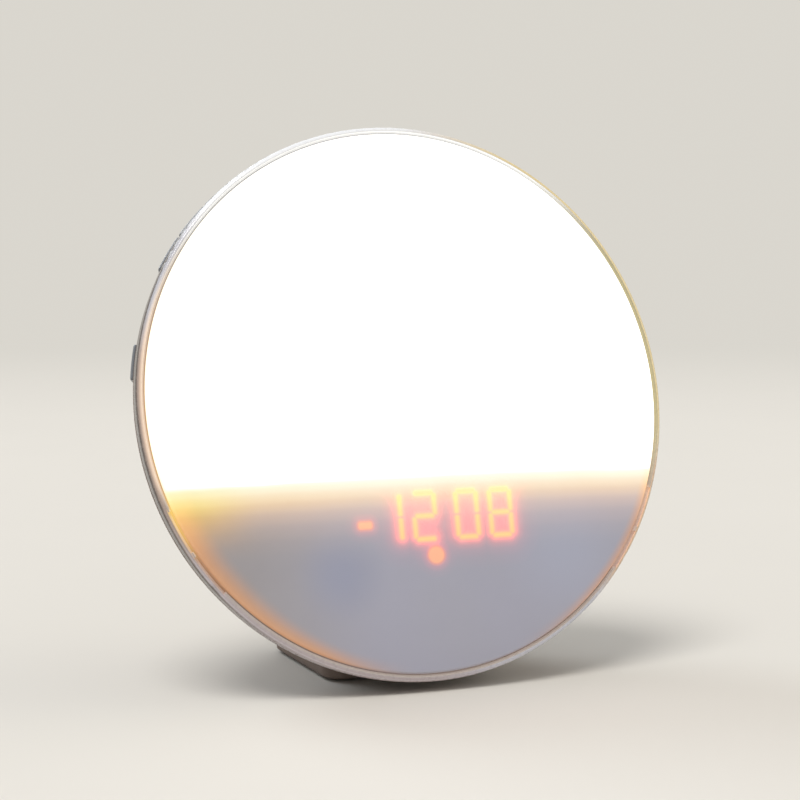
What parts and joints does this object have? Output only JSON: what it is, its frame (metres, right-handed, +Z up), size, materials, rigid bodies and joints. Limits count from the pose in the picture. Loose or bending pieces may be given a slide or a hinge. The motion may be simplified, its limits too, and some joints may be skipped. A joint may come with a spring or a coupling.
{
  "type": "sunrise alarm clock",
  "caption": "Round sunrise lamp and alarm clock leaning back on a wedge foot: domed opal lens with clock digits behind it, sprung side keys, rear speaker, power inlet and battery door.",
  "frame": {"origin": "middle of the foot pad, on the table", "axes": "+Z up; the lens faces -Y and leans back by 13 degrees; +X is to the right seen from the front"},
  "size_m": [0.17, 0.0795, 0.1689],
  "materials": {
    "opal_lens": "opal, satin gloss, lit from behind",
    "ring_plastic": "pearl silver-white, satin",
    "housing_plastic": "off-white, fine moulded texture",
    "white_plastic": "white, smooth moulded",
    "dark_plastic": "black, moulded",
    "key_plastic": "mid grey, satin",
    "rubber": "matt",
    "foam": "black foam",
    "white_board": "white solder resist",
    "green_board": "green solder resist",
    "lit_diffuser": "orange-red, lit",
    "unlit_diffuser": "grey translucent",
    "led_package": "white package, yellow phosphor",
    "screw_steel": "zinc plated",
    "cell_steel": "bright nickel",
    "contact_metal": "plated spring metal",
    "magnet": "ferrite, dull",
    "paper_cone": "coated paper, matt"
  },
  "bodies": {
    "root": {"board_capacitors": "cell_steel", "board_chips": "dark_plastic", "board_screws": "screw_steel", "cell_contact_minus": "contact_metal", "cell_contact_plus": "contact_metal", "coin_cell": "cell_steel", "colour_leds": "led_package", "dark_segments": "unlit_diffuser", "display_block": "dark_plastic", "display_board": "green_board", "foot": "housing_plastic", "foot_pad": "rubber", "foot_screws": "screw_steel", "front_lens": "opal_lens", "front_ring": "ring_plastic", "header_pins": "contact_metal", "housing_screws": "screw_steel", "key_board_left": "green_board", "key_board_right": "green_board", "key_switches_left": "dark_plastic", "key_switches_right": "dark_plastic", "lamp_board": "white_board", "lamp_tray": "white_plastic", "lead_headers": "white_plastic", "light_seal": "foam", "lit_segments": "lit_diffuser", "main_board": "green_board", "power_jack": "dark_plastic", "power_jack_pin": "contact_metal", "rear_housing": "housing_plastic", "speaker_basket": "dark_plastic", "speaker_cone": "paper_cone", "speaker_gasket": "foam", "speaker_magnet": "magnet", "speaker_screws": "screw_steel", "speaker_surround": "rubber", "speaker_yoke": "screw_steel", "status_lights": "lit_diffuser", "white_leds": "led_package"},
    "key_right_1": {"key_right_1": "key_plastic", "plunger_right_1": "white_plastic"},
    "key_right_2": {"key_right_2": "key_plastic", "plunger_right_2": "white_plastic"},
    "key_right_3": {"key_right_3": "key_plastic", "plunger_right_3": "white_plastic"},
    "key_right_4": {"key_right_4": "key_plastic", "plunger_right_4": "white_plastic"},
    "key_left_1": {"key_left_1": "key_plastic", "plunger_left_1": "white_plastic"},
    "key_left_2": {"key_left_2": "key_plastic", "plunger_left_2": "white_plastic"},
    "key_left_3": {"key_left_3": "key_plastic", "plunger_left_3": "white_plastic"},
    "key_left_4": {"key_left_4": "key_plastic", "plunger_left_4": "white_plastic"},
    "battery_door": {"battery_door": "housing_plastic"}
  },
  "joints": [
    {"name": "key_right_1_press", "type": "slide", "parent": "root", "child": "key_right_1", "axis": [-0.9851, -0.0387, -0.1675], "range_m": [0, 0.0005], "stiffness_N_per_m": 2000},
    {"name": "key_right_2_press", "type": "slide", "parent": "root", "child": "key_right_2", "axis": [-0.832, -0.1248, -0.5406], "range_m": [0, 0.0005], "stiffness_N_per_m": 2000},
    {"name": "key_right_3_press", "type": "slide", "parent": "root", "child": "key_right_3", "axis": [-0.7396, -0.1514, -0.6558], "range_m": [0, 0.0005], "stiffness_N_per_m": 2000},
    {"name": "key_right_4_press", "type": "slide", "parent": "root", "child": "key_right_4", "axis": [-0.6307, -0.1746, -0.7562], "range_m": [0, 0.0005], "stiffness_N_per_m": 2000},
    {"name": "key_left_1_press", "type": "slide", "parent": "root", "child": "key_left_1", "axis": [0.9851, -0.0387, -0.1675], "range_m": [0, 0.0005], "stiffness_N_per_m": 2000},
    {"name": "key_left_2_press", "type": "slide", "parent": "root", "child": "key_left_2", "axis": [0.832, -0.1248, -0.5406], "range_m": [0, 0.0005], "stiffness_N_per_m": 2000},
    {"name": "key_left_3_press", "type": "slide", "parent": "root", "child": "key_left_3", "axis": [0.7396, -0.1514, -0.6558], "range_m": [0, 0.0005], "stiffness_N_per_m": 2000},
    {"name": "key_left_4_press", "type": "slide", "parent": "root", "child": "key_left_4", "axis": [0.6307, -0.1746, -0.7562], "range_m": [0, 0.0005], "stiffness_N_per_m": 2000},
    {"name": "battery_door_lift", "type": "slide", "parent": "root", "child": "battery_door", "axis": [0, 0.9135, 0.4067], "range_m": [0, 0.012]}
  ]
}
